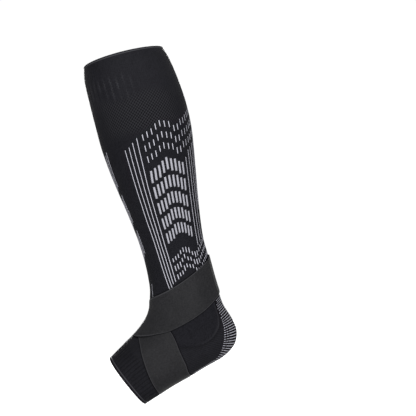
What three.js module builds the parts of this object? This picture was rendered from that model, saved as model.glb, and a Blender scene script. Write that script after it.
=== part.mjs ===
import * as THREE from "three";

// Driving sizes in mm. The origin is the middle of the top opening, +Z runs up the leg and the toes point to -X.
const knitWall = 1.6;
const weltWall = 2.4;
const weltDepth = 40;
const topRimRoll = 4;
const toeRimWall = 2.6;
const toeRimRoll = 3.6;
const rimSwell = 0.5;
const pieceGap = 0.3;
const heelGap = 0.9;
const strapClear = 0.5;
const strapThick = 1.5;
const strapLayerGap = 0.5;
const strapStart = 22;
const strapEnd = 660;
const tabThick = 1.2;
const tabLap = 12;
const tabReach = 34;
const sidesRound = 40;
const legRings = 21;
const footRings = 21;
const strapStep = 6;
const strapLanes = 6;

// Sections down the leg, round the heel and along the foot. Each runs from the shin or instep to the calf, heel or sole.
const sectionColumns = ["frontX", "frontZ", "backX", "backZ", "halfWidth", "taper", "frontSquare", "backSquare"];
const sections = [
  [-50.4, -0.2, 50.4, -1.2, 51.5, -0.03, 2.0, 1.95],
  [-54.3, -18.0, 55.0, -18.0, 53.5, 0.03, 2.05, 2.05],
  [-55.7, -45.0, 58.8, -45.0, 55.0, 0.05, 2.1, 2.1],
  [-56.4, -75.0, 60.6, -75.0, 56.0, 0.07, 2.05, 2.1],
  [-56.6, -104.0, 59.3, -104.0, 55.0, 0.08, 2.05, 2.1],
  [-54.7, -132.0, 55.0, -132.0, 52.0, 0.08, 2.05, 2.1],
  [-51.1, -162.0, 49.4, -162.0, 47.5, 0.07, 2.05, 2.1],
  [-46.9, -192.0, 43.7, -192.0, 42.0, 0.05, 2.05, 2.1],
  [-43.6, -222.0, 38.7, -222.0, 37.0, 0.03, 2.1, 2.1],
  [-42.5, -248.0, 35.4, -250.0, 33.5, 0.0, 2.1, 2.1],
  [-43.2, -268.0, 34.8, -276.0, 33.0, -0.03, 2.15, 2.1],
  [-45.0, -286.2, 34.8, -302.0, 34.5, -0.05, 2.2, 2.1],
  [-47.2, -299.2, 36.6, -328.0, 35.5, -0.05, 2.2, 2.1],
  [-50.1, -308.9, 42.8, -349.0, 35.0, -0.05, 2.2, 2.1],
  [-54.1, -316.5, 45.2, -366.0, 34.0, -0.03, 2.2, 2.15],
  [-59.0, -322.7, 38.5, -382.0, 33.5, 0.0, 2.2, 2.2],
  [-64.7, -327.9, 22.0, -392.8, 34.0, 0.03, 2.2, 2.4],
  [-71.4, -333.1, 0.0, -398.4, 35.5, 0.06, 2.2, 2.6],
  [-80.0, -338.8, -25.9, -403.4, 37.5, 0.08, 2.2, 2.8],
  [-91.6, -344.2, -53.3, -409.9, 39.0, 0.1, 2.2, 2.9],
  [-103.8, -350.1, -74.2, -416.8, 40.0, 0.1, 2.2, 2.9],
  [-116.8, -357.6, -88.4, -422.6, 40.0, 0.08, 2.2, 2.7],
];

// Heel line, where the leg knit meets the heel knit. Turn is the angle round from the shin, the same on both sides.
const heelLineColumns = ["turn", "section"];
const heelLine = [
  [0, 16.2],
  [40, 16.3],
  [75, 16.5],
  [91, 16.45],
  [100, 16.1],
  [110, 15.6],
  [118, 14.65],
  [126, 13.6],
  [134, 12.5],
  [142, 11.6],
  [154, 11.0],
  [180, 10.6],
];

// Strap edges along its winding: one turn round the foot, then one round the ankle.
const strapColumns = ["turn", "nearEdge", "farEdge"];
const strapEdges = [
  [22, 12.7, 17.4],
  [40, 13.8, 17.98],
  [67, 15.5, 18.62],
  [95, 16.9, 19.1],
  [120, 17.55, 19.48],
  [140, 17.85, 19.7],
  [180, 18.0, 19.9],
  [220, 17.85, 19.72],
  [240, 17.55, 19.5],
  [265, 16.9, 19.15],
  [293, 15.5, 18.95],
  [320, 14.1, 18.9],
  [345, 13.0, 18.8],
  [367, 12.35, 18.6],
  [388, 11.86, 18.14],
  [403, 11.55, 17.54],
  [420, 11.25, 16.2],
  [436, 10.98, 14.48],
  [463, 10.54, 12.94],
  [495, 10.06, 11.97],
  [516, 9.78, 11.62],
  [540, 9.54, 11.42],
];
const strapBack = 540;

const radians = THREE.MathUtils.degToRad;
const smooth = (x) => THREE.MathUtils.smoothstep(x, 0, 1);

// Smooth curve through the rows of a table.
function alongRows(rows, place) {
  const last = rows.length - 1;
  const at = THREE.MathUtils.clamp(place, 0, last);
  const i = Math.min(Math.floor(at), last - 1);
  const t = at - i;
  return rows[i].map((b, k) => {
    const c = rows[i + 1][k];
    const a = i > 0 ? rows[i - 1][k] : 2 * b - c;
    const d = i + 2 <= last ? rows[i + 2][k] : 2 * c - b;
    return 0.5 * (2 * b + (c - a) * t + (2 * a - 5 * b + 4 * c - d) * t * t + (3 * b - a - 3 * c + d) * t * t * t);
  });
}

// Value of a column at a turn, with the turn in the first column and a slope that never overshoots.
function atTurn(rows, turn, column) {
  const last = rows.length - 1;
  const x = THREE.MathUtils.clamp(turn, rows[0][0], rows[last][0]);
  let i = 0;
  while (i < last - 1 && x > rows[i + 1][0]) i += 1;
  const step = (n) => (rows[n + 1][column] - rows[n][column]) / (rows[n + 1][0] - rows[n][0]);
  const slope = (n) => {
    if (n === 0) return step(0);
    if (n === last) return step(last - 1);
    const a = step(n - 1);
    const b = step(n);
    return a * b <= 0 ? 0 : (2 * a * b) / (a + b);
  };
  const width = rows[i + 1][0] - rows[i][0];
  const t = (x - rows[i][0]) / width;
  const u = 1 - t;
  return (
    rows[i][column] * u * u * (1 + 2 * t) +
    rows[i + 1][column] * t * t * (3 - 2 * t) +
    width * slope(i) * t * u * u -
    width * slope(i + 1) * t * t * u
  );
}

// Point on the outer face of the knit, at a section and an angle round from the shin.
function facePoint(section, turn) {
  const row = alongRows(sections, section);
  const [frontX, frontZ, backX, backZ, halfWidth, taper, frontSquare, backSquare] = row;
  const along = -Math.cos(radians(turn));
  const across = Math.sin(radians(turn));
  const power = frontSquare + ((backSquare - frontSquare) * (1 + along)) / 2;
  const reach = (Math.abs(along) ** power + Math.abs(across) ** power) ** (-1 / power);
  const place = reach * along;
  return new THREE.Vector3(
    (frontX + backX) / 2 + ((backX - frontX) / 2) * place,
    -halfWidth * reach * across * (1 + taper * place),
    (frontZ + backZ) / 2 + ((backZ - frontZ) / 2) * place,
  );
}

function faceNormal(section, turn) {
  const step = 0.01;
  const low = Math.max(section - step, 0);
  const high = Math.min(section + step, sections.length - 1);
  const down = facePoint(high, turn).sub(facePoint(low, turn));
  const round = facePoint(section, turn + step * 20).sub(facePoint(section, turn - step * 20));
  return down.cross(round).normalize();
}

function liftedPoint(section, turn, lift) {
  return facePoint(section, turn).addScaledVector(faceNormal(section, turn), lift);
}

// Section number a few mm further down the sock at one turn.
function downBy(section, turn, distance) {
  const step = 0.05;
  const low = Math.max(section - step, 0);
  const high = Math.min(section + step, sections.length - 1);
  const length = facePoint(high, turn).distanceTo(facePoint(low, turn));
  return section + (distance * (high - low)) / length;
}

function meshFrom(name, points, faces, colour, roughness) {
  const geometry = new THREE.BufferGeometry();
  geometry.setAttribute("position", new THREE.Float32BufferAttribute(points.flatMap((p) => [p.x, p.y, p.z]), 3));
  geometry.setIndex(faces.flat());
  geometry.computeVertexNormals();
  const mesh = new THREE.Mesh(geometry, new THREE.MeshStandardMaterial({ color: colour, roughness, metalness: 0 }));
  mesh.name = name;
  return mesh;
}

// Ring or tube: a closed wall outline, given as section and lift at each turn, carried once round the limb.
function wallRound(name, outlineAt, colour) {
  const points = [];
  const faces = [];
  let size = 0;
  for (let j = 0; j < sidesRound; j += 1) {
    const turn = (360 * j) / sidesRound;
    const outline = outlineAt(turn);
    size = outline.length;
    for (const [section, lift] of outline) points.push(liftedPoint(section, turn, lift));
  }
  for (let j = 0; j < sidesRound; j += 1) {
    const next = (j + 1) % sidesRound;
    for (let k = 0; k < size; k += 1) {
      const after = (k + 1) % size;
      const [a, b] = [j * size + k, j * size + after];
      const [c, d] = [next * size + after, next * size + k];
      faces.push([a, b, c], [a, c, d]);
    }
  }
  return meshFrom(name, points, faces, colour, 0.9);
}

// Plain wall outline between two sections: down the outside, back up the inside.
function plainWall(from, to, rings) {
  const outer = Array.from({ length: rings + 1 }, (_, i) => [from + ((to - from) * i) / rings, 0]);
  const inner = outer.map(([section]) => [section, -knitWall]).reverse();
  return [...outer, ...inner];
}

const lastSection = sections.length - 1;
const foldTurn = (turn) => (turn <= 180 ? turn : 360 - turn);
const heelAt = (turn) => atTurn(heelLine, foldTurn(turn), 1);
const weltEnd = (turn) => downBy(downBy(0, turn, weltDepth / 2), turn, weltDepth / 2);
const toeStart = (turn) => downBy(lastSection, turn, -toeRimRoll);

// Doubled band: a swollen roll at the rim, then an even wall.
function topWeltOutline(turn) {
  const rollEnd = downBy(0, turn, topRimRoll);
  const rollMiddle = rollEnd / 2;
  const end = weltEnd(turn);
  const places = [0.25, 0.5, 0.75, 1].map((t) => rollEnd + (end - rollEnd) * t);
  const outside = places.map((section) => [section, 0]);
  const inside = places.map((section) => [section, -weltWall]).reverse();
  return [
    [0, -rimSwell],
    [rollMiddle, rimSwell],
    [rollEnd, 0],
    ...outside,
    ...inside,
    [rollMiddle, -weltWall - rimSwell],
    [0, -weltWall],
  ];
}

// Rolled rim of the toe opening.
function toeRimOutline(turn) {
  const start = toeStart(turn);
  const middle = (start + lastSection) / 2;
  return [
    [start, 0],
    [middle, rimSwell],
    [lastSection, -rimSwell],
    [lastSection, -toeRimWall],
    [middle, -toeRimWall - rimSwell],
    [start, -toeRimWall],
  ];
}

// The last quarter of the strap mirrors the way it came up the other side of the ankle.
const strapTurn = (turn) => (turn <= strapBack ? turn : 2 * strapBack - turn);
const nearEdge = (turn) => atTurn(strapEdges, strapTurn(turn), 1);
const farEdge = (turn) => atTurn(strapEdges, strapTurn(turn), 2);

// Height of the strap's inner face over the knit: it climbs where it passes over its own first turn.
function strapFloor(turn, section) {
  const below = turn - 360;
  if (below < strapStart - 14) return strapClear;
  const overStart = smooth((below - (strapStart - 14)) / 11);
  const edge = nearEdge(Math.max(below, strapStart));
  const overEdge = smooth((section - (edge - 2.9)) / 2);
  return strapClear + (strapThick + strapLayerGap) * overStart * overEdge;
}

// Ribbon between two edges of the winding, closed at both ends.
function ribbon(name, from, to, step, floorAt, thick, inset, colour) {
  const points = [];
  const faces = [];
  const rows = Math.round((to - from) / step);
  const size = 2 * (strapLanes + 1);
  for (let i = 0; i <= rows; i += 1) {
    const turn = from + ((to - from) * i) / rows;
    const near = nearEdge(turn);
    const far = farEdge(turn);
    const lanes = Array.from({ length: strapLanes + 1 }, (_, v) => inset + ((1 - 2 * inset) * v) / strapLanes);
    const places = lanes.map((v) => near + (far - near) * v);
    for (const section of places) points.push(liftedPoint(section, turn, floorAt(turn, section) + thick));
    for (const section of places.reverse()) points.push(liftedPoint(section, turn, floorAt(turn, section)));
  }
  for (let i = 0; i < rows; i += 1) {
    for (let k = 0; k < size; k += 1) {
      const after = (k + 1) % size;
      const [a, b] = [i * size + k, i * size + after];
      const [c, d] = [(i + 1) * size + after, (i + 1) * size + k];
      faces.push([a, b, c], [a, c, d]);
    }
  }
  for (let v = 0; v < strapLanes; v += 1) {
    const [a, b, c, d] = [v, v + 1, size - 2 - v, size - 1 - v];
    const end = rows * size;
    faces.push([a, c, b], [a, d, c]);
    faces.push([end + a, end + b, end + c], [end + a, end + c, end + d]);
  }
  return meshFrom(name, points, faces, colour, 0.85);
}

const knitColour = 0x1f1f24;
const sock = new THREE.Group();
sock.name = "compression_sock";
sock.add(wallRound("top_welt", topWeltOutline, knitColour));
sock.add(
  wallRound(
    "leg_sleeve",
    (turn) => plainWall(downBy(weltEnd(turn), turn, pieceGap), downBy(heelAt(turn), turn, -heelGap / 2), legRings),
    knitColour,
  ),
);
sock.add(
  wallRound(
    "foot_sleeve",
    (turn) => plainWall(downBy(heelAt(turn), turn, heelGap / 2), downBy(toeStart(turn), turn, -pieceGap), footRings),
    knitColour,
  ),
);
sock.add(wallRound("toe_welt", toeRimOutline, knitColour));

// The tab lies on the strap below it, and the strap's end is lapped over the root of the tab.
const tabFrom = strapEnd - tabLap;
const tabTo = strapEnd + tabReach;
const strapRise = (turn, section) =>
  strapFloor(turn, section) + (tabThick + strapLayerGap) * smooth((turn - (tabFrom - 12)) / 10);
sock.add(ribbon("wrap_strap", strapStart, strapEnd, strapStep, strapRise, strapThick, 0, 0x303032));
sock.add(ribbon("strap_tab", tabFrom, tabTo, strapStep, strapFloor, tabThick, 0.06, 0x262628));

export default sock;
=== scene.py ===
import math

import bmesh
import bpy
import numpy as np
from mathutils import Matrix, Vector


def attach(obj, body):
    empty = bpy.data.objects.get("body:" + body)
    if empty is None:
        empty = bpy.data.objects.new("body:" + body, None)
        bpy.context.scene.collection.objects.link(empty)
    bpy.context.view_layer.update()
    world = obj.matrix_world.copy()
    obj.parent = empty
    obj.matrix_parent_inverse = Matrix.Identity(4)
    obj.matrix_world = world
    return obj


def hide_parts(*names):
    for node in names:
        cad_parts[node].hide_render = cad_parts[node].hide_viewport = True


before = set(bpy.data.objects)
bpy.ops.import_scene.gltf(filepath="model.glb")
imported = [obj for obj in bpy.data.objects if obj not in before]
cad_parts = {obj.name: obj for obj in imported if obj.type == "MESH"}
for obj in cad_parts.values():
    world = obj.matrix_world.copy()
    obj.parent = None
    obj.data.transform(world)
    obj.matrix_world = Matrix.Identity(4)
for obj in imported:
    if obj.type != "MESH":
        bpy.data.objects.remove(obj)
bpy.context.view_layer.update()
mm = 0.001
print("frame loaded:", sorted(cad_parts))

# The worn form in mm, a row for each section from the rim to the toes: front x and z, back x and z,
# half width, taper towards the back, and how square it is in front and behind.
sockForm = {
    "sections": [
        (-50.4, -0.2, 50.4, -1.2, 51.5, -0.03, 2.0, 1.95),
        (-54.3, -18.0, 55.0, -18.0, 53.5, 0.03, 2.05, 2.05),
        (-55.7, -45.0, 58.8, -45.0, 55.0, 0.05, 2.1, 2.1),
        (-56.4, -75.0, 60.6, -75.0, 56.0, 0.07, 2.05, 2.1),
        (-56.6, -104.0, 59.3, -104.0, 55.0, 0.08, 2.05, 2.1),
        (-54.7, -132.0, 55.0, -132.0, 52.0, 0.08, 2.05, 2.1),
        (-51.1, -162.0, 49.4, -162.0, 47.5, 0.07, 2.05, 2.1),
        (-46.9, -192.0, 43.7, -192.0, 42.0, 0.05, 2.05, 2.1),
        (-43.6, -222.0, 38.7, -222.0, 37.0, 0.03, 2.1, 2.1),
        (-42.5, -248.0, 35.4, -250.0, 33.5, 0.0, 2.1, 2.1),
        (-43.2, -268.0, 34.8, -276.0, 33.0, -0.03, 2.15, 2.1),
        (-45.0, -286.2, 34.8, -302.0, 34.5, -0.05, 2.2, 2.1),
        (-47.2, -299.2, 36.6, -328.0, 35.5, -0.05, 2.2, 2.1),
        (-50.1, -308.9, 42.8, -349.0, 35.0, -0.05, 2.2, 2.1),
        (-54.1, -316.5, 45.2, -366.0, 34.0, -0.03, 2.2, 2.15),
        (-59.0, -322.7, 38.5, -382.0, 33.5, 0.0, 2.2, 2.2),
        (-64.7, -327.9, 22.0, -392.8, 34.0, 0.03, 2.2, 2.4),
        (-71.4, -333.1, 0.0, -398.4, 35.5, 0.06, 2.2, 2.6),
        (-80.0, -338.8, -25.9, -403.4, 37.5, 0.08, 2.2, 2.8),
        (-91.6, -344.2, -53.3, -409.9, 39.0, 0.1, 2.2, 2.9),
        (-103.8, -350.1, -74.2, -416.8, 40.0, 0.1, 2.2, 2.9),
        (-116.8, -357.6, -88.4, -422.6, 40.0, 0.08, 2.2, 2.7),
    ],
    # turn round from the shin, and the section where leg knit meets heel knit
    "heelLine": [
        (0, 16.2), (40, 16.3), (75, 16.5), (91, 16.45), (100, 16.1), (110, 15.6),
        (118, 14.65), (126, 13.6), (134, 12.5), (142, 11.6), (154, 11.0), (180, 10.6),
    ],
    "wall": 1.6,
}
formRows = np.array(sockForm["sections"])
lastSection = len(formRows) - 1

# Steps for slopes on the form, in sections and degrees, and stops along it.
formSteps = {
    "section": 0.01, "turn": 0.2,    # for the outward way
    "pitch": 0.05,                   # for mm in a section
    "courses": 600,
    "depths": 500, "depthEnd": 16,   # sections searched for a depth
}


def smooth(value):
    share = np.clip(value, 0.0, 1.0)
    return share * share * (3 - 2 * share)


def curveBetween(before, near, far, after, share):
    # smooth curve from near to far
    bend = 2 * before - 5 * near + 4 * far - after
    twist = 3 * near - before - 3 * far + after
    return 0.5 * (2 * near + (far - before) * share + bend * share**2 + twist * share**3)


def formAt(section):
    at = np.clip(np.asarray(section, float), 0, lastSection)
    row = np.minimum(at.astype(int), lastSection - 1)
    share = (at - row)[..., None]
    near, far = formRows[row], formRows[row + 1]
    first, last = (row == 0)[..., None], (row + 2 > lastSection)[..., None]
    before = np.where(first, 2 * near - far, formRows[np.maximum(row - 1, 0)])
    after = np.where(last, 2 * far - near, formRows[np.minimum(row + 2, lastSection)])
    return curveBetween(before, near, far, after, share)


def tableAt(rows, at, column=1):
    # smooth curve through a table by its first column, without overshoot
    table = np.array(rows, float)
    keys, values = table[:, 0], table[:, column]
    at = np.clip(np.asarray(at, float), keys[0], keys[-1])
    row = np.clip(np.searchsorted(keys, at, side="right") - 1, 0, len(keys) - 2)
    step = np.diff(values) / np.diff(keys)
    slope = np.empty_like(values)
    slope[0], slope[-1] = step[0], step[-1]
    before, after = step[:-1], step[1:]
    sameWay = before * after > 0
    total = np.where(sameWay, before + after, 1.0)
    slope[1:-1] = np.where(sameWay, 2 * before * after / total, 0.0)
    width = keys[row + 1] - keys[row]
    share = (at - keys[row]) / width
    rest = 1 - share
    return (values[row] * rest * rest * (1 + 2 * share) + values[row + 1] * share * share * (3 - 2 * share)
            + width * slope[row] * share * rest * rest - width * slope[row + 1] * share * share * rest)


def facePoint(section, turn):
    section, turn = np.broadcast_arrays(np.asarray(section, float), np.asarray(turn, float))
    frontX, frontZ, backX, backZ, half, taper, frontSquare, backSquare = np.moveaxis(formAt(section), -1, 0)
    along, across = -np.cos(np.radians(turn)), np.sin(np.radians(turn))
    power = frontSquare + (backSquare - frontSquare) * (1 + along) / 2
    reach = (np.abs(along)**power + np.abs(across)**power)**(-1 / power)
    place = reach * along
    x = (frontX + backX) / 2 + (backX - frontX) / 2 * place
    y = -half * reach * across * (1 + taper * place)
    z = (frontZ + backZ) / 2 + (backZ - frontZ) / 2 * place
    return np.stack([x, y, z], -1)


def gap(one, other):
    return np.linalg.norm(one - other, axis=-1)


def eitherSide(section, step):
    return np.maximum(section - step, 0), np.minimum(section + step, lastSection)


def faceNormal(section, turn):
    low, high = eitherSide(section, formSteps["section"])
    down = facePoint(high, turn) - facePoint(low, turn)
    around = facePoint(section, turn + formSteps["turn"]) - facePoint(section, turn - formSteps["turn"])
    normal = np.cross(down, around)
    return normal / np.linalg.norm(normal, axis=-1, keepdims=True)


def lifted(section, turn, lift):
    section, turn = np.broadcast_arrays(np.asarray(section, float), np.asarray(turn, float))
    return facePoint(section, turn) + faceNormal(section, turn) * np.asarray(lift, float)[..., None]


def perSection(section, turn):
    # mm for one section at this place
    low, high = eitherSide(section, formSteps["pitch"])
    return gap(facePoint(high, turn), facePoint(low, turn)) / (high - low)


def perDegree(section, turn):
    return gap(facePoint(section, turn + 0.5), facePoint(section, turn - 0.5))


def downBy(section, turn, distance):
    return section + distance / perSection(section, turn)


def downTwice(section, turn, distance):
    # in two half steps, which keep closer to the form
    halfway = downBy(section, turn, distance / 2)
    return downBy(halfway, turn, distance / 2)


def heelAt(turn):
    fold = np.where(turn <= 180, turn, 360 - turn)
    return tableAt(sockForm["heelLine"], fold)


# Knit courses are counted along the outer side of the sock, in mm from the rim.
courseSections = np.linspace(0, lastSection, formSteps["courses"])
sidePoints = facePoint(courseSections, np.full_like(courseSections, 90.0))
courseLengths = np.concatenate([[0], np.cumsum(gap(sidePoints[1:], sidePoints[:-1]))])
chartScale = 0.01  # UV units for each mm down the sock


def courseAt(section):
    return np.interp(section, courseSections, courseLengths) * chartScale


def coursesAt(sections):
    return [float(courseAt(section)) for section in sections]


def sectionAt(turns, depths):
    # section number at each depth below the rim
    trial = np.linspace(0, formSteps["depthEnd"], formSteps["depths"])
    found = [np.interp(depth, -facePoint(trial, turn)[:, 2], trial) for turn, depth in zip(turns, depths)]
    return np.array(found)


# The elastic strap's path: once round the foot, then up and once round the ankle. In mm and degrees.
strapPath = {
    "start": 22.0, "end": 660.0,
    "backTurn": 540.0,   # mirrored past this
    "highest": 7,        # section above which no strap comes near
    # turn, near edge section, far edge section
    "edges": [
        (22, 12.7, 17.4), (40, 13.8, 17.95), (67, 15.5, 18.7), (95, 16.85, 19.2), (120, 17.5, 19.48),
        (140, 17.85, 19.6), (180, 18.0, 19.72), (220, 17.85, 19.6), (240, 17.55, 19.48),
        (265, 16.9, 19.2), (293, 15.5, 18.85), (320, 14.1, 18.65), (345, 13.0, 18.4),
        (367, 12.35, 18.15), (388, 11.86, 17.85), (403, 11.55, 17.32), (420, 11.25, 16.0),
        (436, 10.98, 14.4), (463, 10.54, 12.9), (495, 10.06, 11.97), (516, 9.82, 11.62),
        (540, 9.61, 11.42),
    ],
    "clear": 0.5, "thick": 1.5, "layerGap": 0.4,
    "climbStart": (14, 11),   # degrees ahead of its own start, and degrees of climb
    "climbEdge": (2.9, 2),    # the same over its own edge, in sections
    # turn, and how far the knit swells beside the strap
    "swell": [
        (22, 0.5), (95, 0.6), (150, 1.5), (180, 1.9), (210, 1.5), (265, 0.6), (330, 1.0), (352, 1.6),
        (370, 1.6), (390, 1.0), (436, 0.5), (480, 0.3), (510, 0.8), (540, 1.1),
    ],
    "swellReach": 14.0,
    "cover": (-0.3, 2.0),   # where the knit goes flat under the edge, and over what width
    "farOff": 90.0,         # where no strap is near
    # turn, and how far the band stands off in a square bend at the back
    "standOff": [(488, 0.0), (502, 0.6), (512, 1.3), (522, 0.9), (540, 0.7)],
}


def strapFold(turn):
    back = strapPath["backTurn"]
    return np.where(turn <= back, turn, 2 * back - turn)


def strapEdge(turn, column):
    return tableAt(strapPath["edges"], strapFold(turn), column)


def strapInside(section, at):
    # mm inside the strap's edges at this turn of its path, negative outside
    inside = np.minimum(section - strapEdge(at, 1), strapEdge(at, 2) - section) * perSection(section, at)
    return np.where((at >= strapPath["start"]) & (at <= strapPath["end"]), inside, -strapPath["farOff"])


def knitLift(section, turn):
    # the knit swells a little beside the strap and lies flat under it
    section, turn = np.broadcast_arrays(np.asarray(section, float), np.asarray(turn, float))
    swell, cover = np.zeros(section.shape), np.zeros(section.shape)
    if section.max() < strapPath["highest"]:
        return swell
    coverStart, coverWidth = strapPath["cover"]
    for wind in (0.0, 360.0):
        at = turn + wind
        inside = strapInside(section, at)
        beside = np.exp(-(np.minimum(inside, 0) / strapPath["swellReach"])**2)
        swell = np.maximum(swell, beside * tableAt(strapPath["swell"], strapFold(at)))
        cover = np.maximum(cover, smooth((inside - coverStart) / coverWidth))
    return swell * (1 - cover)


mergeReach = 1e-6   # metres


def addGrid(bm, columns, rows, spread, gaps=None):
    # one grid laid on the form: spread gives section, turn, lift in mm and UV for shares across and along,
    # gaps are named distances in mm kept on the vertices
    layer = bm.loops.layers.uv.verify()
    gaps = gaps or {}
    gapLayers = {name: bm.verts.layers.float.new(name) for name in gaps}
    before = set(bm.verts)
    made = bmesh.ops.create_grid(bm, x_segments=columns, y_segments=rows, size=0.5)
    verts = made["verts"]
    flat = np.array([vert.co[:2] for vert in verts])
    low, high = flat.min(0), flat.max(0)
    across, along = ((flat - low) / (high - low)).T
    section, turn, lift, us, vs = spread(across, along)
    points, outward = lifted(section, turn, lift), faceNormal(section, turn)
    number = {vert: index for index, vert in enumerate(verts)}
    faces = [face for face in bm.faces if face.verts[0] not in before]
    for face in faces:
        face.smooth = True
        for loop in face.loops:
            index = number[loop.vert]
            loop[layer].uv = (us[index], vs[index])
    for vert, point in zip(verts, points):
        vert.co = Vector(point) * mm
    for name, gapAt in gaps.items():
        for vert, value in zip(verts, gapAt(section, turn)):
            vert[gapLayers[name]] = value
    middle = faces[len(faces) // 2]
    middle.normal_update()
    if middle.normal.dot(Vector(outward[number[middle.verts[0]]])) < 0:
        bmesh.ops.reverse_faces(bm, faces=faces)


def finishMesh(bm, name, material, slot, *nodes):
    mesh = bpy.data.meshes.new(name)
    bm.to_mesh(mesh)
    bm.free()
    piece = bpy.data.objects.new(name, mesh)
    bpy.context.scene.collection.objects.link(piece)
    mesh.materials.append(material)
    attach(piece, "root")
    if nodes:
        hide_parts(*nodes)
    return piece


def giveWall(piece, thickness, even=True):
    wall = piece.modifiers.new("wall", "SOLIDIFY")
    wall.thickness = thickness * mm
    wall.offset = -1.0
    wall.use_even_offset = even
    wall.use_quality_normals = True
    return piece


class nodeKit:
    # short hand for wiring one material
    def __init__(self, name):
        self.material = bpy.data.materials.new(name)
        self.material.use_nodes = True
        self.tree = self.material.node_tree
        self.shader = self.tree.nodes["Principled BSDF"]

    def add(self, kind, **settings):
        node = self.tree.nodes.new(kind)
        for key, value in settings.items():
            setattr(node, key, value)
        return node

    def link(self, source, target):
        self.tree.links.new(source, target)

    def math(self, operation, *values, clamp=False):
        node = self.add("ShaderNodeMath", operation=operation, use_clamp=clamp)
        for socket, value in zip(node.inputs, values):
            if isinstance(value, (int, float)):
                socket.default_value = value
            else:
                self.link(value, socket)
        return node.outputs[0]

    def wave(self, value, count):
        return self.math("SINE", self.math("MULTIPLY", value, math.tau * count))

    def halfWave(self, value, count):
        # between 0 and 1
        return self.math("MULTIPLY_ADD", self.wave(value, count), 0.5, 0.5)

    def product(self, *values):
        result = values[0]
        for value in values[1:]:
            result = self.math("MULTIPLY", result, value)
        return result

    def chart(self):
        uv = self.add("ShaderNodeUVMap")
        split = self.add("ShaderNodeSeparateXYZ")
        self.link(uv.outputs[0], split.inputs[0])
        return split.outputs[0], split.outputs[1]

    def attribute(self, name):
        return self.add("ShaderNodeAttribute", attribute_name=name).outputs["Fac"]

    def fold(self, value, count):
        # from 0 up to a half and down again, count times
        return self.math("PINGPONG", self.math("MULTIPLY", value, count), 0.5)

    def other(self, value):
        return self.math("SUBTRACT", 1.0, value)

    def ramp(self, value, low, high):
        node = self.add("ShaderNodeMapRange", interpolation_type="SMOOTHSTEP")
        self.link(value, node.inputs["Value"])
        node.inputs["From Min"].default_value = low
        node.inputs["From Max"].default_value = high
        return node.outputs[0]

    def fall(self, value, low, high):
        return self.other(self.ramp(value, low, high))

    def belt(self, value, low, high, soft):
        # 1 between low and high, 0 outside
        fall = self.fall(value, high - soft, high + soft)
        return self.math("MULTIPLY", self.ramp(value, low - soft, low + soft), fall)

    def blend(self, factor, first, second):
        node = self.add("ShaderNodeMix", data_type="RGBA", clamp_factor=True)
        self.link(factor, node.inputs[0])
        for socket, value in ((node.inputs[6], first), (node.inputs[7], second)):
            if isinstance(value, tuple):
                socket.default_value = (*value, 1.0)
            else:
                self.link(value, socket)
        return node.outputs[2]

    def share(self, factor, amount, first, second):
        return self.blend(self.math("MULTIPLY", factor, amount), first, second)

    def noise(self, scale):
        coords = self.add("ShaderNodeTexCoord")
        node = self.add("ShaderNodeTexNoise")
        node.inputs["Scale"].default_value = scale
        node.inputs["Detail"].default_value = 2.0
        self.link(coords.outputs["Object"], node.inputs["Vector"])
        return node.outputs[0]

    def finish(self, colour, height, look):
        self.link(colour, self.shader.inputs["Base Color"])
        node = self.add("ShaderNodeBump")
        node.inputs["Strength"].default_value = look["bump"]
        node.inputs["Distance"].default_value = look["bumpDepth"]
        self.link(height, node.inputs["Height"])
        self.link(node.outputs[0], self.shader.inputs["Normal"])
        self.shader.inputs["Roughness"].default_value = look["roughness"]
        self.shader.inputs["Specular IOR Level"].default_value = look["specular"]
        return self.material


# Matt black yarn. Lengths are in mm, noise scales are for each metre.
knitFinish = {
    "dark": (0.0035, 0.0035, 0.0044),
    "light": (0.0064, 0.0064, 0.0079),
    "accent": (0.025, 0.025, 0.028),
    "wales": 300,         # stitch columns round the leg
    "coursePitch": 1.1,
    "loopShare": 0.5,     # of the relief
    "grain": 760.0,
    "grainShare": (4.0, -1.8),   # factor and shift of the tone
    "cloud": 130.0,
    "cloudShare": 0.6,
    "upright": 138,       # faint upright ribs
    "uprightShare": 0.16,
    "reliefShare": 0.2,
    "paleTop": 0.09,      # paler towards the band, on its sides and back
    "paleSpan": (0.3, 0.95),
    "paleSides": (0.08, 0.24),
    "rimSoft": 0.002,
    "roughness": 0.5,
    "specular": 0.008,
    "bump": 0.35,
    "bumpDepth": 0.0003,
}

# Open mesh over the calf and the tuck ribs above it. Heights are chart units, 0.01 for each mm.
calfMesh = {
    "cells": 91,              # round the calf
    "cellHeight": 4.14,       # mm
    "slant": 0.028,
    "thread": (0.35, 0.48),
    "secondShare": 0.75,      # of the threads that lean the other way
    "strength": 0.66,
    "holeShare": 0.55,        # darker between the threads
    "holeDeep": 0.3,
    "zigzags": 6,
    "zigzagShift": 0.035,     # share of the way round
    "zigzagHeight": 0.14,
    "top": (0.52, 0.65),
    "bottom": (0.9, 1.06),
    "sides": (0.11, 0.38),    # shares of the way round from the shin
    "sideSoft": 0.04,
    "ribs": 42,
    "ribLine": (0.3, 0.5),
    "ribTop": (0.18, 0.3),
    "ribEnd": (0.19, 0.3),
    "ribStrength": 0.42,
    "ribPatch": 75.0,         # noise scale of the patches where ribs show
    "patchSpan": (0.3, 0.68),
    "waverPitch": 3.4,        # mm
    "waver": 0.09,
    "frontRibs": 84,
    "frontSpan": (0.1, 0.62),
    "frontSoft": 0.06,
    "frontEnd": (0.08, 0.16),
    "frontStrength": 0.26,
}

# Painted shadow below the line where leg knit meets heel knit, and a painted highlight above it towards the
# back, and painted shadow beside the strap's edges. Reaches are in mm, turns are shares of the way round.
heelSeam = {
    "highlightReach": (0.3, 7.0), "highlightTurns": (0.28, 0.35), "paintedHighlight": 0.25,
    "shadowReach": (0.3, 13.0), "shadowTurns": (0.35, 0.4), "shadow": 0.32, "deep": 0.3,
}
strapShadow = {"reach": (0.2, 2.2), "share": 0.65, "deep": 0.35}


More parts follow.
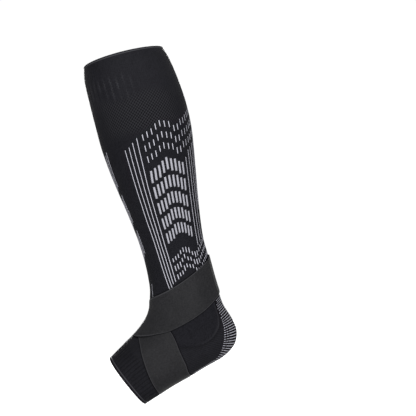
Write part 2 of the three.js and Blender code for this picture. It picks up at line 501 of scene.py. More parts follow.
def shaded(colour, shade):
    return tuple(part * shade for part in colour)


def perChart(pitch):
    # how often a pitch in mm comes in one chart unit
    return 1 / (chartScale * pitch)


def calfColour(kit, u, v, colour):
    # mesh threads and tuck ribs; gives the colour and the raised height
    calf, accent = calfMesh, knitFinish["accent"]
    half = kit.fold(u, 1)
    cellU = kit.math("MULTIPLY", kit.math("MULTIPLY_ADD", v, calf["slant"], half), calf["cells"])
    cellV = kit.math("MULTIPLY", v, perChart(calf["cellHeight"]))
    one = kit.ramp(kit.fold(kit.math("ADD", cellU, cellV), 1), *calf["thread"])
    two = kit.ramp(kit.fold(kit.math("SUBTRACT", cellU, cellV), 1), *calf["thread"])
    threads = kit.math("MAXIMUM", one, kit.math("MULTIPLY", two, calf["secondShare"]))
    along = kit.math("SUBTRACT", half, calf["zigzagShift"])
    place = kit.math("MULTIPLY_ADD", kit.fold(along, calf["zigzags"]), calf["zigzagHeight"], v)
    below = kit.ramp(place, *calf["top"])
    sides = kit.belt(half, *calf["sides"], calf["sideSoft"])
    zone = kit.product(below, sides, kit.fall(v, *calf["bottom"]))
    mesh = kit.math("MULTIPLY", threads, zone)
    holes = kit.product(kit.other(threads), zone)
    sway = kit.math("MULTIPLY", kit.wave(v, perChart(calf["waverPitch"])), calf["waver"])
    rib = kit.ramp(kit.fold(kit.math("MULTIPLY_ADD", u, calf["ribs"], sway), 1), *calf["ribLine"])
    patch = kit.ramp(kit.noise(calf["ribPatch"]), *calf["patchSpan"])
    span = kit.product(kit.ramp(v, *calf["ribTop"]), kit.other(below), kit.fall(half, *calf["ribEnd"]))
    ribs = kit.product(rib, span, patch)
    front = kit.ramp(kit.fold(u, calf["frontRibs"]), *calf["ribLine"])
    frontZone = kit.belt(v, *calf["frontSpan"], calf["frontSoft"])
    front = kit.product(front, frontZone, kit.fall(half, *calf["frontEnd"]))
    colour = kit.share(holes, calf["holeShare"], colour, shaded(knitFinish["dark"], calf["holeDeep"]))
    colour = kit.share(mesh, calf["strength"], colour, accent)
    colour = kit.share(ribs, calf["ribStrength"], colour, accent)
    colour = kit.share(front, calf["frontStrength"], colour, accent)
    return colour, kit.math("ADD", mesh, ribs)


def paintedStrapShadow(kit, colour, dark):
    # painted shadow close beside the strap's edges
    close = kit.fall(kit.attribute("strapGap"), *strapShadow["reach"])
    return kit.share(close, strapShadow["share"], colour, shaded(dark, strapShadow["deep"]))


def footColour(kit, u, v, colour, foot):
    # close courses round the heel, and painted shade in the grooves between the ribs of the forefoot
    accent, deep = knitFinish["accent"], shaded(knitFinish["dark"], foot["deep"])
    fore = kit.ramp(v, *coursesAt((foot["ribStart"], foot["ribStart"] + foot["ribBlend"])))
    fine = kit.halfWave(v, perChart(foot["heelPitch"]))
    heel = kit.product(fine, kit.other(fore), foot["heelShare"])
    colour = kit.blend(heel, colour, accent)
    colour = kit.share(fore, foot["foreShare"], colour, accent)
    above, lower = foot["ribTurn"]
    start = kit.math("MULTIPLY_ADD", kit.ramp(v, *coursesAt(foot["ribTurnSpan"])), lower - above, above)
    soft = foot["ribTurnSoft"]
    behind = kit.ramp(kit.math("SUBTRACT", kit.fold(u, 1), start), -soft, soft)
    between = kit.product(behind, kit.fall(v, *coursesAt(foot["ribEnd"])))
    colour = kit.share(between, foot["betweenShare"], colour, deep)
    groove = kit.ramp(kit.fold(u, foot["ribs"]), *foot["groove"])
    colour = kit.share(kit.product(groove, fore), foot["grooveShade"], colour, deep)
    return colour, kit.math("MULTIPLY", heel, foot["heelRelief"])


def seamColour(kit, u, colour, side):
    # painted shadow below the heel line, and a painted highlight along its edge above it towards the back
    half = kit.fold(u, 1)
    if side == "below":
        beside = kit.fall(kit.attribute("seamGap"), *heelSeam["shadowReach"])
        shadow = kit.product(beside, kit.fall(half, *heelSeam["shadowTurns"]))
        return kit.share(shadow, heelSeam["shadow"], colour, shaded(knitFinish["dark"], heelSeam["deep"]))
    paintedHighlight = kit.ramp(half, *heelSeam["highlightTurns"])
    if side == "above":
        paintedHighlight = kit.product(kit.fall(kit.attribute("seamGap"), *heelSeam["highlightReach"]), paintedHighlight)
    return kit.share(paintedHighlight, heelSeam["paintedHighlight"], colour, knitFinish["accent"])


def knitMaterial(name, shade=1.0, mesh=False, rim=None, foot=None, seam=None, strap=False):
    knit = knitFinish
    kit = nodeKit(name)
    u, v = kit.chart()
    side = kit.fold(u, knit["wales"])
    course = kit.math("MULTIPLY", v, perChart(knit["coursePitch"]))
    loop = kit.wave(kit.math("ADD", course, side), 1)
    column = kit.wave(side, 1)
    height = kit.math("MULTIPLY_ADD", kit.math("MULTIPLY", loop, knit["loopShare"]), column, column)
    tone = kit.math("MULTIPLY_ADD", kit.noise(knit["grain"]), *knit["grainShare"])
    tone = kit.math("MULTIPLY_ADD", kit.noise(knit["cloud"]), knit["cloudShare"], tone)
    tone = kit.math("MULTIPLY_ADD", kit.wave(u, knit["upright"]), knit["uprightShare"], tone)
    tone = kit.math("MULTIPLY_ADD", height, knit["reliefShare"], tone, clamp=True)
    colour = kit.blend(tone, shaded(knit["dark"], shade), shaded(knit["light"], shade))
    if mesh:
        pale = kit.product(kit.fall(v, *knit["paleSpan"]), kit.ramp(kit.fold(u, 1), *knit["paleSides"]))
        colour = kit.share(pale, knit["paleTop"], colour, knit["accent"])
        colour, raised = calfColour(kit, u, v, colour)
        height = kit.math("ADD", height, raised)
    if foot:
        colour, raised = footColour(kit, u, v, colour, foot)
        height = kit.math("ADD", height, raised)
    if seam:
        colour = seamColour(kit, u, colour, seam)
    if strap:
        colour = paintedStrapShadow(kit, colour, knit["dark"])
    if rim:
        line = kit.belt(v, *rim["line"], knit["rimSoft"])
        colour = kit.blend(line, colour, shaded(knit["accent"], rim["shade"]))
    return kit.finish(colour, height, knit)


# Doubled band with a rolled rim, as a closed wall carried round the opening.
topBand = {
    "depth": 40.0,
    "round": 192,
    # mm down from the rim, lift off the form; round the wall and back
    "wall": [
        (39.9, -2.2), (40.0, -1.2), (39.95, -0.1), (39.0, 0.0), (30.0, 0.1), (18.0, 0.15), (8.0, 0.1),
        (3.8, 0.05), (3.0, -0.15), (2.4, 0.1), (1.6, 0.35), (0.8, 0.3), (0.2, -0.1), (0.0, -0.7),
        (0.1, -1.6), (0.7, -2.5), (2.0, -3.0), (3.6, -2.9), (5.0, -2.5), (20.0, -2.4), (38.5, -2.4),
    ],
    "rim": {"line": (0.018, 0.028), "shade": 1.05},   # chart units
}
wallStops = 3   # stops for each row of a wall


def closedWall(table, count):
    # points on a smooth loop through a wall outline
    rows = np.array(table)
    at = np.linspace(0, len(rows), count, endpoint=False)
    row = at.astype(int)
    near = [rows[(row + step) % len(rows)] for step in (-1, 0, 1, 2)]
    return curveBetween(*near, (at - row)[:, None])


def ringPiece(name, settings, start, material, *nodes):
    count = wallStops * len(settings["wall"])
    loop = closedWall(settings["wall"], count)

    def spread(across, along):
        depth, lift = loop[np.round(along * count).astype(int) % count].T
        turn = 360 * across
        section = downTwice(np.full_like(turn, start), turn, depth)
        return section, turn, lift, across, courseAt(start) + depth * chartScale

    bm = bmesh.new()
    addGrid(bm, settings["round"], count, spread)
    bmesh.ops.remove_doubles(bm, verts=bm.verts, dist=mergeReach)
    bmesh.ops.recalc_face_normals(bm, faces=bm.faces)
    return finishMesh(bm, name, material, "knit", *nodes)


bandKnit = knitMaterial("knit_band", mesh=True, rim=topBand["rim"])
ringPiece("top_band", topBand, 0.0, bandKnit, "top_welt")
print("top band made")

toeRim = {
    "round": 208,
    "wall": [
        (-4.45, -2.4), (-4.5, -0.4), (-4.1, 0.05), (-2.3, 0.45), (-0.9, 0.4), (-0.2, -0.1), (0.0, -0.9),
        (-0.1, -1.8), (-0.7, -2.6), (-1.9, -3.0), (-3.4, -2.8),
    ],
    "shade": 0.75,
    "line": (-0.043, -0.030),   # chart units from the rim
    "lineShade": 0.85,
}
toeLine = [float(courseAt(lastSection)) + edge for edge in toeRim["line"]]
toeKnit = knitMaterial("knit_toe", toeRim["shade"], rim={"line": toeLine, "shade": toeRim["lineShade"]})
ringPiece("toe_rim", toeRim, float(lastSection), toeKnit, "toe_welt")
print("toe rim made")


def seamGap(section, turn):
    return np.abs(section - heelAt(turn)) * perSection(section, turn)


def knitStrapGap(section, turn):
    return -np.maximum(strapInside(section, turn), strapInside(section, turn + 360))


def bandStrapGap(section, turn):
    # to the strap's next turn, which passes over
    return -strapInside(section, turn + 360)


def tubePiece(name, columns, rows, startAt, endAt, liftAt, material, *nodes):
    def spread(across, along):
        turn = 360 * across
        start, end = startAt(turn), endAt(turn)
        section = start + (end - start) * along
        return section, turn, liftAt(section, turn), across, courseAt(section)

    bm = bmesh.new()
    addGrid(bm, columns, rows, spread, {"seamGap": seamGap, "strapGap": knitStrapGap})
    bmesh.ops.remove_doubles(bm, verts=bm.verts, dist=mergeReach)
    for edge in bm.edges:
        edge.smooth = not edge.is_boundary
    piece = finishMesh(bm, name, material, "knit", *nodes)
    return giveWall(piece, sockForm["wall"])


legKnit = {
    "round": 240, "rows": 160,
    "lap": 1.6, "lapLift": 0.05,
    "lapFade": 4,     # laps down to where the lift is gone
    "heelGap": 0.3,
}


def legStart(turn):
    welt = downTwice(np.zeros_like(turn), turn, topBand["depth"])
    return downBy(welt, turn, -legKnit["lap"])


def legEnd(turn):
    return downBy(heelAt(turn), turn, -legKnit["heelGap"] / 2)


def legLift(section, turn):
    # the first courses lap over the foot of the band
    down = (section - legStart(turn)) * perSection(section, turn)
    lap = 1 - smooth(down / (legKnit["lapFade"] * legKnit["lap"]))
    return knitLift(section, turn) + legKnit["lapLift"] * lap


legPiece = tubePiece(
    "leg_knit", legKnit["round"], legKnit["rows"], legStart, legEnd, legLift,
    knitMaterial("knit_leg", mesh=True, seam="above", strap=True), "leg_sleeve")
print("leg knit made")

footKnit = {
    "round": 416, "rows": 84,
    "shade": 0.85,
    "ribs": 52,           # lengthwise ribs on the forefoot
    "ribDepth": 0.35,     # mm
    "ribStart": 18.9,     # section
    "ribReach": 0.4,      # sections down to their full depth
    "ribBlend": 0.3,      # and to their full colour
    "ribFade": 20.6,      # section where they run out at the rim
    "ribFadeReach": 0.2,
    "ribFadeShare": 0.7,
    "groovePower": 5,     # higher is narrower
    # painted shade in the grooves between the forefoot ribs
    "groove": (0.36, 0.48),
    "grooveShade": 0.6,
    "foreShare": 0.04,
    "toeRoll": 4.5, "toeLap": 0.3,
    "heelPitch": 2.3,     # mm between courses on the heel
    "heelShare": 0.12,
    "heelRelief": 4.0,
    # where the heel's silver ribs begin, above and below, as shares of the way round
    "ribTurn": (0.375, 0.42),
    "ribTurnSoft": 0.01,
    "ribTurnSpan": (14.4, 16.2),   # sections
    "ribEnd": (16.3, 16.9),
    "betweenShare": 0.7,           # darker between them
    "deep": 0.3,
}


def footStart(turn):
    return downBy(heelAt(turn), turn, legKnit["heelGap"] / 2)


def footEnd(turn):
    rim = downBy(np.full_like(turn, lastSection), turn, -footKnit["toeRoll"])
    return downBy(rim, turn, footKnit["toeLap"])


def footLift(section, turn):
    foot = footKnit
    groove = (0.5 - 0.5 * np.cos(np.radians(turn) * foot["ribs"]))**foot["groovePower"]
    fade = foot["ribFadeShare"] * smooth((section - foot["ribFade"]) / foot["ribFadeReach"])
    fore = smooth((section - foot["ribStart"]) / foot["ribReach"]) * (1 - fade)
    return knitLift(section, turn) - foot["ribDepth"] * groove * fore


footPiece = tubePiece(
    "foot_knit", footKnit["round"], footKnit["rows"], footStart, footEnd, footLift,
    knitMaterial("knit_foot", footKnit["shade"], foot=footKnit, seam="below", strap=True), "foot_sleeve")
print("foot knit made")

# Raised strips of knitting: share across the strip, and share of the rise. Lengths are in mm.
stripShape = {
    "stops": (0.0, 0.1, 0.5, 0.9, 1.0),
    "rise": (-0.8, 0.75, 1.0, 0.75, -0.8),
    "endStep": 0.15,
    "thick": 0.35,
}


def lineStops(length, step):
    # shares along a strip with a short step at each end
    end = stripShape["endStep"] / length
    inner = np.linspace(end, 1 - end, max(2, int(length / step)) + 1)
    return np.concatenate([[0.0], inner, [1.0]])


def addStrip(bm, sections, turns, widths, rise, acrossTurn):
    # a strip along a line of sections and turns, its borders and ends sunk in the knit
    rows = len(sections) - 1
    stops, shape = np.array(stripShape["stops"]), np.array(stripShape["rise"])
    columns = len(stops) - 1
    widths = np.broadcast_to(widths, sections.shape)

    def spread(across, along):
        row = np.round(along * rows).astype(int)
        column = np.round(across * columns).astype(int)
        section, turn = sections[row], turns[row]
        shift = (stops[column] - 0.5) * widths[row]
        if acrossTurn:
            turn = turn + shift / perDegree(section, turn)
        else:
            section = downBy(section, turn, shift)
        ends = (row == 0) | (row == rows)
        lift = knitLift(section, turn) + rise * np.where(ends, shape[0], shape[column])
        return section, turn, lift, turn / 360, courseAt(section)

    addGrid(bm, columns, rows, spread)


# Silver yarn knitted into the leg: turns are degrees round from the shin, depths are mm below the rim.
legPattern = {
    "rise": 0.2,
    "step": 3.0,
    "lineShade": 1.45,
    "barShade": 1.0,
    "lineWidth": 0.92,
    "dashWidth": 1.12,
    "limbColumn": 8,     # columns past this one are finer
    "limbWidth": 0.78,
    "barShare": 0.53,    # of a column's width
    # depth, and the turn of each of the four lines beside the shin
    "sideTurns": [
        (106, 60.0, 66.0, 71.7, 78.0), (141, 59.1, 64.9, 70.9, 77.0), (174, 57.7, 63.7, 69.8, 75.4),
        (203, 56.8, 63.1, 69.1, 75.2), (232, 58.3, 64.3, 69.6, 75.8), (256, 60.1, 66.0, 71.6, 77.4),
        (276, 62.9, 68.2, 73.5, 79.0), (296, 67.6, 72.6, 76.4, 81.2),
    ],
    "sideEnds": [(116.5, 294.5), (114.5, 293.5), (110.6, 288.6), (106.7, 286.7)],
    # a line up the back of the calf: turns at its top and foot, depths of its top and foot, its width
    "backLines": [
        (139.4, 140.3, 143.2, 251.0, 0.78), (146.2, 148.9, 135.0, 247.5, 0.7),
        (151.6, 158.6, 131.0, 244.0, 0.6), (158.6, 163.5, 127.0, 208.0, 0.55),
        (166.0, 168.6, 123.0, 203.0, 0.5), (173.2, 174.2, 119.5, 199.0, 0.48),
        (180.0, 180.0, 117.5, 197.0, 0.45),
    ],
    "backRise": 0.1,
    # depth and turn of the outermost line on the shin; the others follow towards its middle
    "shinTurns": [
        (108, 24.4), (156, 20.4), (167, 20.2), (202, 21.2), (214, 23.2), (246, 25.4), (310, 27.0),
    ],
    "shinShares": [1.0, 0.76, 0.54, 0.33, 0.13],
    "shinSlant": 3.6,
    "shinWidth": 1.0,
    "shinRise": 0.4,              # share of the rise
    "shinBreaks": [(111.0, 155.6), (166.6, 201.9), (213.5, 243.7)],
    "shinTail": (282.0, 304.0),   # the outermost line only
    "tailWidth": 0.6,             # shares of the width and the rise
    "tailRise": 0.3,
    # depth, turn of the first column, degrees between columns
    "columns": [
        (95, 85.7, 5.82), (150, 85.2, 5.85), (160, 84.0, 6.0), (171, 83.6, 6.02), (190, 83.3, 5.94),
        (209, 83.3, 5.92), (228, 84.1, 5.77), (258, 84.3, 5.45), (285, 86.4, 5.2),
    ],
    "upperTops": [
        104.2, 102.0, 99.9, 95.4, 92.9, 94.7, 96.6, 102.4, 101.6, 96.7, 95.0, 92.1, 89.0, 86.0, 83.0, 80.0,
    ],
    "upperRows": 3,
    "upperRowPitch": 13.5,
    "upperDash": 7.6,
    # top and length of a column's three lower dashes
    "lowerDashes": [
        (258.0, 4.9, 267.4, 6.7, 278.3, 6.2), (256.2, 5.0, 265.8, 7.0, 277.0, 4.8),
        (254.5, 5.1, 264.2, 7.0, 275.5, 4.9), (250.9, 5.1, 260.6, 5.1, 270.0, 7.0),
        (248.5, 5.5, 256.5, 5.5, 268.6, 4.8), (248.7, 7.0, 260.7, 4.8, 270.2, 4.7),
        (250.3, 7.0, 262.2, 5.0, 271.6, 5.0), (256.0, 4.9, 266.1, 6.3, 276.4, 5.2),
        (257.3, 7.0, 266.7, 6.8, 278.0, 5.0), (256.7, 6.7, 265.9, 6.9, 277.0, 5.0),
        (253.7, 5.0, 263.8, 4.4, 273.0, 5.0), (250.8, 5.0, 260.7, 4.6, 270.2, 5.0),
        (248.0, 5.0, 257.6, 4.6, 267.4, 5.0), (245.6, 5.0, 255.2, 4.6, 265.0, 5.0),
        (243.6, 5.0, 253.2, 4.6, 263.0, 5.0), (242.0, 5.0, 251.6, 4.6, 261.4, 5.0),
        (240.8, 5.0, 250.4, 4.6, 260.2, 5.0), (240.0, 5.0, 249.6, 4.6, 259.4, 5.0),
    ],
    "centreTop": 77.5,   # dashes at the very back
    "barTops": [148.9, 168.6, 188.5, 207.9, 226.6],
    "barLengths": [14.8, 14.4, 14.0, 13.5, 12.8],
    "barRise": [0.0, 2.1, 4.0, 8.2, 9.2, 8.4, 6.8, 2.8, 0.6],
    "peakColumn": 4,     # rises more in the first row
    "peakRise": 1.9,
}


def columnTurn(column, depth):
    table = legPattern["columns"]
    return tableAt(table, depth, 1) + column * tableAt(table, depth, 2)


def dashForm(column):
    # width and rise of a dash
    leg = legPattern
    if column > leg["limbColumn"]:
        return leg["limbWidth"], leg["backRise"]
    return leg["dashWidth"], leg["rise"]


def lineStrips():
    # depths of a strip's ends, its turn by depth, width and rise
    leg = legPattern
    for number, (top, bottom) in enumerate(leg["sideEnds"], 1):
        yield (top, bottom, lambda depth, line=number: tableAt(leg["sideTurns"], depth, line),
               leg["lineWidth"], leg["rise"])
    for *turns, top, bottom, width in leg["backLines"]:
        yield (top, bottom, lambda depth, ends=(top, bottom), to=turns: np.interp(depth, ends, to),
               width, leg["backRise"])
    for number, share in enumerate(leg["shinShares"]):
        shift = number * leg["shinSlant"]
        for top, bottom in leg["shinBreaks"]:
            yield (top + shift, bottom + shift,
                   lambda depth, part=share: part * tableAt(leg["shinTurns"], depth),
                   leg["shinWidth"], leg["shinRise"] * leg["rise"])
    yield (*leg["shinTail"], lambda depth: tableAt(leg["shinTurns"], depth),
           leg["tailWidth"] * leg["shinWidth"], leg["tailRise"] * leg["rise"])
    for column, start in enumerate(leg["upperTops"]):
        for row in range(leg["upperRows"]):
            top = start + row * leg["upperRowPitch"]
            yield (top, top + leg["upperDash"], lambda depth, at=column: columnTurn(at, depth),
                   *dashForm(column))
    for row in range(leg["upperRows"]):
        top = leg["centreTop"] + row * leg["upperRowPitch"]
        yield (top, top + leg["upperDash"], lambda depth: np.full_like(depth, 180.0),
               leg["limbWidth"], leg["backRise"])
    for column, dashes in enumerate(leg["lowerDashes"]):
        for top, length in zip(dashes[::2], dashes[1::2]):
            yield top, top + length, lambda depth, at=column: columnTurn(at, depth), *dashForm(column)


def barStrips():
    leg = legPattern
    for row, (start, length) in enumerate(zip(leg["barTops"], leg["barLengths"])):
        for column, up in enumerate(leg["barRise"]):
            peak = row == 0 and column == leg["peakColumn"]
            top = start - up - (leg["peakRise"] if peak else 0.0)
            turn = float(columnTurn(column, top))
            girth = float(perDegree(sectionAt([turn], [top])[0], turn))
            width = leg["barShare"] * float(tableAt(leg["columns"], top, 2)) * girth
            yield top, top + length, lambda depth, at=column: columnTurn(at, depth), width, leg["rise"]


silverFinish = {
    "pale": (0.225, 0.225, 0.252), "deep": (0.085, 0.085, 0.096),
    "wales": 360, "coursePitch": 0.9, "stitchShare": 0.35,
    "grain": 850.0, "grainShare": 0.8,
    "roughness": 0.75, "specular": 0.2, "bump": 0.4, "bumpDepth": 0.0002,
}


def silverMaterial(name, shade):
    silver = silverFinish
    kit = nodeKit(name)
    u, v = kit.chart()
    side = kit.fold(u, silver["wales"])
    course = kit.math("MULTIPLY", v, perChart(silver["coursePitch"]))
    stitch = kit.halfWave(kit.math("ADD", course, side), 1)
    grain = kit.math("MULTIPLY", kit.noise(silver["grain"]), silver["grainShare"])
    tone = kit.math("MULTIPLY_ADD", stitch, silver["stitchShare"], grain, clamp=True)
    colour = kit.blend(tone, shaded(silver["deep"], shade), shaded(silver["pale"], shade))
    return kit.finish(colour, stitch, silver)


def stripPiece(bm, name, material, thick=stripShape["thick"]):
    return giveWall(finishMesh(bm, name, material, "knit"), thick, False)


def patternPiece(name, strips, material):
    # each strip on the outer side, and again on the inner side
    bm = bmesh.new()
    for top, bottom, turnAt, width, rise in strips:
        depths = top + (bottom - top) * lineStops(bottom - top, legPattern["step"])
        turns = turnAt(depths)
        sections = sectionAt(turns, depths)
        addStrip(bm, sections, turns, width, rise, True)
        if turns.min() < 180:
            addStrip(bm, sections, 360 - turns, width, rise, True)
    return stripPiece(bm, name, material)


linePiece = patternPiece("leg_lines", lineStrips(), silverMaterial("silver_lines", legPattern["lineShade"]))
barPiece = patternPiece("leg_bars", barStrips(), silverMaterial("silver_bars", legPattern["barShade"]))
print("leg pattern made:", len(linePiece.data.polygons) + len(barPiece.data.polygons), "faces")

# Silver ribs round the back of the heel, dotted towards the ankle.
heelRibs = {
    "first": 11.1, "last": 16.55,   # sections at the back
    # section at the back, mm to the next rib, degrees it slopes down to the back,
    # turn where it begins, degrees of dots
    "table": [
        (11.1, 2.5, -28, 149, 20), (11.66, 2.5, -28, 145, 20), (11.9, 2.6, -24, 140, 18),
        (12.3, 2.9, -23, 136, 12), (12.64, 3.3, -22, 133.5, 9), (12.93, 3.4, -14, 133, 9),
        (13.25, 3.4, -7, 132.3, 9), (13.6, 3.4, -4, 131.8, 9), (14.05, 3.7, 3, 132.3, 10),
        (14.49, 4.0, 10, 133.7, 9.5), (14.96, 4.1, 20, 135.5, 6.5), (15.38, 4.0, 27, 138.2, 6),
        (15.75, 3.9, 33, 141.6, 3.5), (16.12, 3.8, 35, 145.9, 3), (16.55, 3.6, 37, 151.5, 3),
    ],
    "shade": 1.15,
    "widthShare": 0.26,
    "rise": 0.2,
    "dotPitch": 4.4,   # degrees
    "dotShare": 0.76,
    "meshEnd": 12.5,   # section above which the dots of neighbouring ribs alternate
    "girth": 0.6,      # about as many mm for each degree
    "step": 2.0,
    "reach": 2.5, "highest": 9, "trials": 160,   # sections searched for a rib's line
}


def ribLine(back, turns):
    # sections where the sloping plane through this back point meets each turn
    ribs = heelRibs
    slope = math.radians(float(tableAt(ribs["table"], back, 2)))
    square = np.array([-math.sin(slope), 0.0, -math.cos(slope)])
    here = facePoint(back, 180.0)
    low, high = max(back - ribs["reach"], ribs["highest"]), min(back + ribs["reach"], lastSection)
    trial = np.linspace(low, high, ribs["trials"])
    found = [np.interp(0.0, (facePoint(trial, turn) - here) @ square, trial) for turn in turns]
    return np.array(found)


def ribSpans(back, index):
    # turns of a rib's dots on both sides, then of its plain stretch round the back
    ribs = heelRibs
    edge, dots = float(tableAt(ribs["table"], back, 3)), float(tableAt(ribs["table"], back, 4))
    count = round(dots / ribs["dotPitch"])
    if count:
        pitch = dots / count
        shift = (index % 2 if back < ribs["meshEnd"] else 0) * pitch / 2
        for dot in range(count):
            start = edge + dot * pitch + shift
            end = start + ribs["dotShare"] * pitch
            yield start, end
            yield 360 - end, 360 - start
        edge += dots + shift
    yield edge, 360 - edge


def makeHeelRibs():
    ribs = heelRibs
    bm = bmesh.new()
    back, index = ribs["first"], 0
    while back < ribs["last"]:
        pitch = float(tableAt(ribs["table"], back))
        following = float(downBy(np.array(back), np.array(180.0), pitch))
        for near, far in ribSpans(back, index):
            turns = near + (far - near) * lineStops((far - near) * ribs["girth"], ribs["step"])
            line, nextLine = ribLine(back, turns), ribLine(following, turns)
            widths = ribs["widthShare"] * gap(facePoint(line, turns), facePoint(nextLine, turns))
            addStrip(bm, line, turns, widths, ribs["rise"], False)
        back, index = following, index + 1
    print("heel ribs made:", index)
    return stripPiece(bm, "heel_ribs", silverMaterial("silver_heel", ribs["shade"]))


makeHeelRibs()

# Fine ridge where the leg knit meets the heel, and a pale line along each side of the sole. In mm.
seamTrim = {
    "ridgeWidth": 1.8, "ridgeRise": 0.2, "ridgeStops": 241, "ridgeShade": 0.95,
    "soleTurn": 151.0, "soleSpan": (16.5, 17.75),   # degrees, sections
    "soleLength": 28.0, "soleStep": 2.0, "soleWidth": 1.4, "soleRise": 0.15, "soleShade": 0.7,
    "thick": 0.3,
}


def makeRidge():
    trim = seamTrim
    bm = bmesh.new()
    turns = np.linspace(0, 360, trim["ridgeStops"])
    addStrip(bm, heelAt(turns), turns, trim["ridgeWidth"], trim["ridgeRise"], False)
    # the ridge carries the same painted highlight towards the back
    material = knitMaterial("knit_ridge", trim["ridgeShade"], seam="ridge")
    return stripPiece(bm, "heel_ridge", material, trim["thick"])


def makeSoleLines():
    trim = seamTrim
    bm = bmesh.new()
    first, last = trim["soleSpan"]
    sections = first + (last - first) * lineStops(trim["soleLength"], trim["soleStep"])
    for turn in (trim["soleTurn"], 360 - trim["soleTurn"]):
        addStrip(bm, sections, np.full_like(sections, turn), trim["soleWidth"], trim["soleRise"], True)
    material = silverMaterial("silver_sole", trim["soleShade"])
    return stripPiece(bm, "sole_lines", material, trim["thick"])


makeRidge()
makeSoleLines()
print("heel ridge and sole lines made")

# Elastic strap wound in a figure of eight, with a hook tab at its free end.
strapBand = {
    "columns": 430, "lanes": 28,
    "stops": 700,        # along its middle line
    "width": 46.0,       # mm, as woven
    "edgeRound": 0.3, "edgeReach": 1.0,
    "flat": (0.046, 0.484),
    "tabColumns": 40, "tabLanes": 20,
    "tabThick": 1.2, "tabGap": 0.5, "tabInset": 0.06,
    "tabLap": 12.0, "tabReach": 34.0,   # degrees
    "tabClimb": (12, 10),               # degrees ahead of the tab, and degrees of climb
}


def strapFloor(turn, section):
    # height of the strap's inner face: it climbs where it passes over its own first turn
    path = strapPath
    below = turn - 360
    lead, climb = path["climbStart"]
    overStart = smooth((below - (path["start"] - lead)) / climb)
    lead, climb = path["climbEdge"]
    edge = strapEdge(np.maximum(below, path["start"]), 1)
    overEdge = smooth((section - (edge - lead)) / climb)
    layer = (path["thick"] + path["layerGap"]) * overStart * overEdge
    return path["clear"] + layer + tableAt(path["standOff"], strapFold(turn))


def strapRise(turn, section):
    # and where its end lies over the tab
    band = strapBand
    lead, climb = band["tabClimb"]
    root = strapPath["end"] - band["tabLap"]
    rise = (band["tabThick"] + band["tabGap"]) * smooth((turn - (root - lead)) / climb)
    return strapFloor(turn, section) + rise


strapTurns = np.linspace(strapPath["start"], strapPath["end"] + strapBand["tabReach"], strapBand["stops"])
strapMiddle = facePoint((strapEdge(strapTurns, 1) + strapEdge(strapTurns, 2)) / 2, strapTurns)
strapLengths = np.concatenate([[0], np.cumsum(gap(strapMiddle[1:], strapMiddle[:-1]))])


def strapLength(turn):
    return np.interp(turn, strapTurns, strapLengths) * chartScale


def ribbonPiece(name, ends, grid, inset, floorAt, thick, material, slot, node):
    start, end = ends

    def spread(across, along):
        turn = start + (end - start) * across
        near, far = strapEdge(turn, 1), strapEdge(turn, 2)
        section = near + (far - near) * (inset + (1 - 2 * inset) * along)
        rim = np.minimum(along, 1 - along) * strapBand["width"]
        soften = -strapBand["edgeRound"] * (1 - smooth(rim / strapBand["edgeReach"]))
        return section, turn, floorAt(turn, section) + thick + soften, strapLength(turn), along

    bm = bmesh.new()
    addGrid(bm, *grid, spread, {"strapGap": bandStrapGap})
    return giveWall(finishMesh(bm, name, material, slot, node), thick)


# Woven elastic and hook tape. Pitches are in mm, noise scales are for each metre.
elasticFinish = {
    "dark": (0.0064, 0.0064, 0.007), "light": (0.0106, 0.0106, 0.0115), "edge": (0.021, 0.021, 0.023),
    "cords": 34, "pickPitch": 1.3, "creaseTurns": (512.0, 568.0),
}
tabFinish = {
    "dark": (0.0055, 0.0055, 0.006), "light": (0.0088, 0.0088, 0.0096), "edge": (0.014, 0.014, 0.015),
    "cords": 20, "pickPitch": 1.0, "creaseTurns": (), "stitch": (0.04, 0.04, 0.042),
}
weaveLook = {
    "grain": 620.0, "grainShare": (2.8, -1.35),
    "cloud": 60.0, "cloudShare": 0.9,
    "weaveShare": 0.28,
    "selvedge": (0.006, 0.022, 0.004),   # shares of the width, and softness
    # painted shade along the creases where the strap bends sharply at the back
    "crease": 0.010, "creaseSoft": 0.004,   # chart units
    "creaseShadeShare": 0.8, "creaseShadeDeep": 0.35,
    "seam": (0.085, 0.105, 0.003),       # shares of the width, and softness
    "stitchPitch": 2.6, "stitchSpan": (-0.3, 0.1),
    "roughness": 0.42, "specular": 0.024, "bump": 0.3, "bumpDepth": 0.0003,
}


def elasticMaterial(name, band):
    look = weaveLook
    kit = nodeKit(name)
    u, v = kit.chart()
    cord = kit.wave(v, band["cords"])
    pick = kit.wave(u, perChart(band["pickPitch"]))
    weave = kit.math("MULTIPLY", cord, pick)
    tone = kit.math("MULTIPLY_ADD", kit.noise(look["grain"]), *look["grainShare"])
    tone = kit.math("MULTIPLY_ADD", kit.noise(look["cloud"]), look["cloudShare"], tone)
    tone = kit.math("MULTIPLY_ADD", weave, look["weaveShare"], tone, clamp=True)
    colour = kit.blend(tone, band["dark"], band["light"])
    rim = kit.fold(v, 1)
    colour = kit.blend(kit.belt(rim, *look["selvedge"]), colour, band["edge"])
    # painted shade along each crease
    for turn in band["creaseTurns"]:
        at = float(strapLength(turn))
        crease = kit.belt(u, at - look["crease"], at + look["crease"], look["creaseSoft"])
        colour = kit.share(crease, look["creaseShadeShare"], colour, shaded(band["dark"], look["creaseShadeDeep"]))
    # painted shadow where the strap's next turn passes over its edge
    colour = paintedStrapShadow(kit, colour, band["dark"])
    if "stitch" in band:
        stitches = kit.ramp(kit.wave(u, perChart(look["stitchPitch"])), *look["stitchSpan"])
        thread = kit.math("MULTIPLY", kit.belt(rim, *look["seam"]), stitches)
        colour = kit.blend(thread, colour, band["stitch"])
    return kit.finish(colour, kit.math("ADD", weave, cord), look)


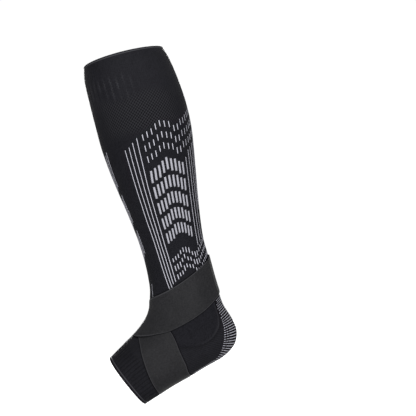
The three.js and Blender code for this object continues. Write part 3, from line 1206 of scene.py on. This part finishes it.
strapPiece = ribbonPiece(
    "strap_band", (strapPath["start"], strapPath["end"]), (strapBand["columns"], strapBand["lanes"]),
    0.0, strapRise, strapPath["thick"],
    elasticMaterial("strap_elastic", elasticFinish), "elastic", "wrap_strap")
tabEnds = (strapPath["end"] - strapBand["tabLap"], strapPath["end"] + strapBand["tabReach"])
tabPiece = ribbonPiece(
    "strap_end_tab", tabEnds, (strapBand["tabColumns"], strapBand["tabLanes"]),
    strapBand["tabInset"], strapFloor, strapBand["tabThick"],
    elasticMaterial("hook_tape", tabFinish), "hook_tape", "strap_tab")
print("strap made")

# Stage: pale floor, white surround, soft light, and the camera at the photo's angle. In metres.
stageSet = {
    "floorHeight": -0.47, "floorReach": 1.2, "floorSides": 64,
    "floorPale": 0.8, "floorRoughness": 0.9,
    "surround": 1.03,
    # name, place, aim, width of the disk, watts
    "lights": [
        ("front", (0.12, -2.2, 0.1), (0, 0, -0.2), 1.0, 89),
        ("back", (0.0, 2.4, 0.4), (0, 0, -0.2), 1.0, 65),
        ("top", (0.0, 0.6, 2.6), (0, 0.6, -0.4), 2.5, 4),
    ],
    "cameraPlace": (-0.006, -1.434, -0.216),
    "cameraAim": (0.0516, 0.0, -0.2103),
    "lean": 15.57,      # degrees the leg leans in the picture
    "frameWidth": 0.520,
    "sensor": 36.0,     # mm
}
bm = bmesh.new()
bmesh.ops.create_circle(bm, cap_ends=True, segments=stageSet["floorSides"], radius=stageSet["floorReach"])
bmesh.ops.translate(bm, verts=bm.verts, vec=(0, 0, stageSet["floorHeight"]))
floorMesh = bpy.data.meshes.new("floor")
bm.to_mesh(floorMesh)
bm.free()
floor = bpy.data.objects.new("floor", floorMesh)
bpy.context.scene.collection.objects.link(floor)
floorKit = nodeKit("pale_floor")
pale = stageSet["floorPale"]
floorKit.shader.inputs["Base Color"].default_value = (pale, pale, pale, 1.0)
floorKit.shader.inputs["Roughness"].default_value = stageSet["floorRoughness"]
floorMesh.materials.append(floorKit.material)

world = bpy.data.worlds.new("surround")
world.use_nodes = True
world.node_tree.nodes["Background"].inputs[0].default_value = (1.0, 1.0, 1.0, 1.0)
world.node_tree.nodes["Background"].inputs[1].default_value = stageSet["surround"]
bpy.context.scene.world = world

for name, place, aim, size, power in stageSet["lights"]:
    data = bpy.data.lights.new(name, "AREA")
    data.shape = "DISK"
    data.size = size
    data.energy = power
    light = bpy.data.objects.new(name, data)
    light.location = place
    light.rotation_euler = (Vector(aim) - Vector(place)).to_track_quat("-Z", "Y").to_euler()
    bpy.context.scene.collection.objects.link(light)

cameraData = bpy.data.cameras.new("camera")
camera = bpy.data.objects.new("camera", cameraData)
bpy.context.scene.collection.objects.link(camera)
place, aim = Vector(stageSet["cameraPlace"]), Vector(stageSet["cameraAim"])
lean = math.radians(stageSet["lean"])
ahead = (aim - place).normalized()
right = Vector((math.cos(lean), 0, -math.sin(lean)))
right = (right - ahead * right.dot(ahead)).normalized()
up = right.cross(ahead)
camera.matrix_world = Matrix.Translation(place) @ Matrix((right, up, -ahead)).transposed().to_4x4()
cameraData.sensor_width = stageSet["sensor"]
cameraData.lens = stageSet["sensor"] * (aim - place).length / stageSet["frameWidth"]
bpy.context.scene.camera = camera
view = bpy.context.scene.view_settings
view.view_transform = "Standard"
view.look = "None"
print("stage set")
